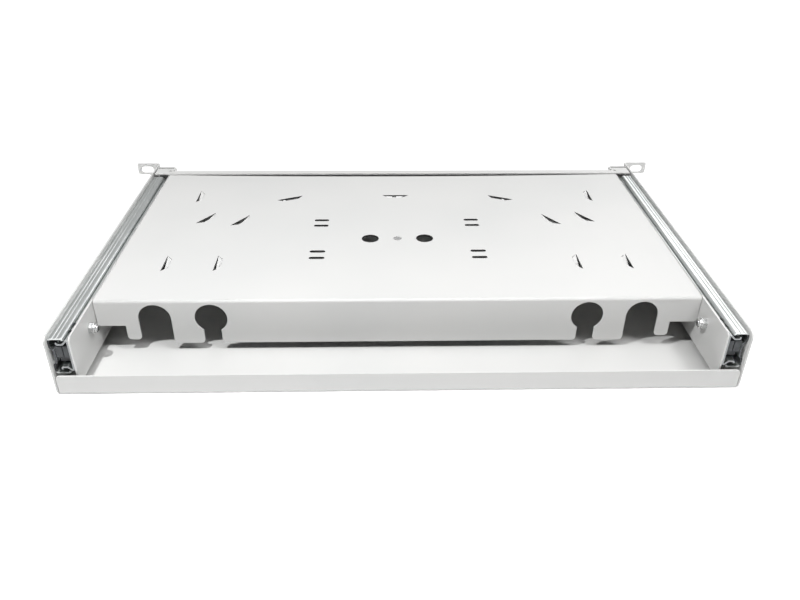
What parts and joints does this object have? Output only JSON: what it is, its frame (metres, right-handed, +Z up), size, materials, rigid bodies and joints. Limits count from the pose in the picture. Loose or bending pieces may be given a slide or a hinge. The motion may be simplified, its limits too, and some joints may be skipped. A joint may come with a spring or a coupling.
{
  "type": "fibre optic patch panel",
  "caption": "Rack-mount fibre optic patch panel, one unit high, with a telescopic drawer on ball slides, notched rear skirt, guide tabs and a front of adapter openings",
  "frame": {"origin": "middle of the cover plate's outer face, which the panel lies on in the picture, at the centre of its overall length and width", "axes": "+Y towards the rack ears and the front, along which the drawer slides out; +X to the right seen from the rear; +Z up from the cover plate, as the panel lies in the picture (turned over compared with its place in a rack)"},
  "size_m": [0.4826, 0.292, 0.0436],
  "materials": {
    "painted_sheet": "light grey powder coat, satin with a fine texture",
    "zinc_slide": "bright zinc plated rolled steel",
    "zinc_fixing": "bright zinc plated rolled steel",
    "zinc_cage": "bright zinc plated rolled steel",
    "ball_steel": "polished steel ball",
    "bumper_plastic": "dark grey moulded plastic",
    "latch_plastic": "black nylon"
  },
  "bodies": {
    "chassis": {"chassis_shell": "painted_sheet", "slide_outer_left": "zinc_slide", "slide_outer_right": "zinc_slide", "slide_rivets_left": "zinc_fixing", "slide_rivets_right": "zinc_fixing", "slide_bumper_left": "bumper_plastic", "slide_bumper_right": "bumper_plastic", "latch_keeper_left": "painted_sheet", "latch_keeper_right": "painted_sheet"},
    "drawer": {"drawer_tray": "painted_sheet", "cassette_stud": "zinc_fixing", "front_panel": "painted_sheet", "adapter_plate_left": "painted_sheet", "adapter_plate_middle": "painted_sheet", "adapter_plate_right": "painted_sheet", "adapter_plate_rivets": "latch_plastic", "panel_screws": "zinc_fixing", "panel_nuts": "zinc_fixing", "slide_inner_left": "zinc_slide", "slide_inner_right": "zinc_slide", "slide_screws_left": "zinc_fixing", "slide_screws_right": "zinc_fixing", "slide_nuts_left": "zinc_fixing", "slide_nuts_right": "zinc_fixing", "latch_grommet_left": "latch_plastic", "latch_grommet_right": "latch_plastic"},
    "cage_left": {"ball_cage_left": "zinc_cage", "slide_balls_left": "ball_steel"},
    "plunger_left": {"latch_plunger_left": "latch_plastic"},
    "cage_right": {"ball_cage_right": "zinc_cage", "slide_balls_right": "ball_steel"},
    "plunger_right": {"latch_plunger_right": "latch_plastic"}
  },
  "joints": [
    {"name": "drawer_slide", "type": "slide", "parent": "chassis", "child": "drawer", "axis": [0, 1, 0], "range_m": [0, 0.17]},
    {"name": "cage_slide_left", "type": "slide", "parent": "chassis", "child": "cage_left", "axis": [0, 1, 0], "range_m": [0, 0.085]},
    {"name": "plunger_pull_left", "type": "slide", "parent": "drawer", "child": "plunger_left", "axis": [0, 1, 0], "range_m": [0, 0.005]},
    {"name": "cage_slide_right", "type": "slide", "parent": "chassis", "child": "cage_right", "axis": [0, 1, 0], "range_m": [0, 0.085]},
    {"name": "plunger_pull_right", "type": "slide", "parent": "drawer", "child": "plunger_right", "axis": [0, 1, 0], "range_m": [0, 0.005]}
  ],
  "couplings": [
    {"joint": "cage_slide_left", "follows": "drawer_slide", "ratio": 0.5},
    {"joint": "cage_slide_right", "follows": "drawer_slide", "ratio": 0.5}
  ]
}
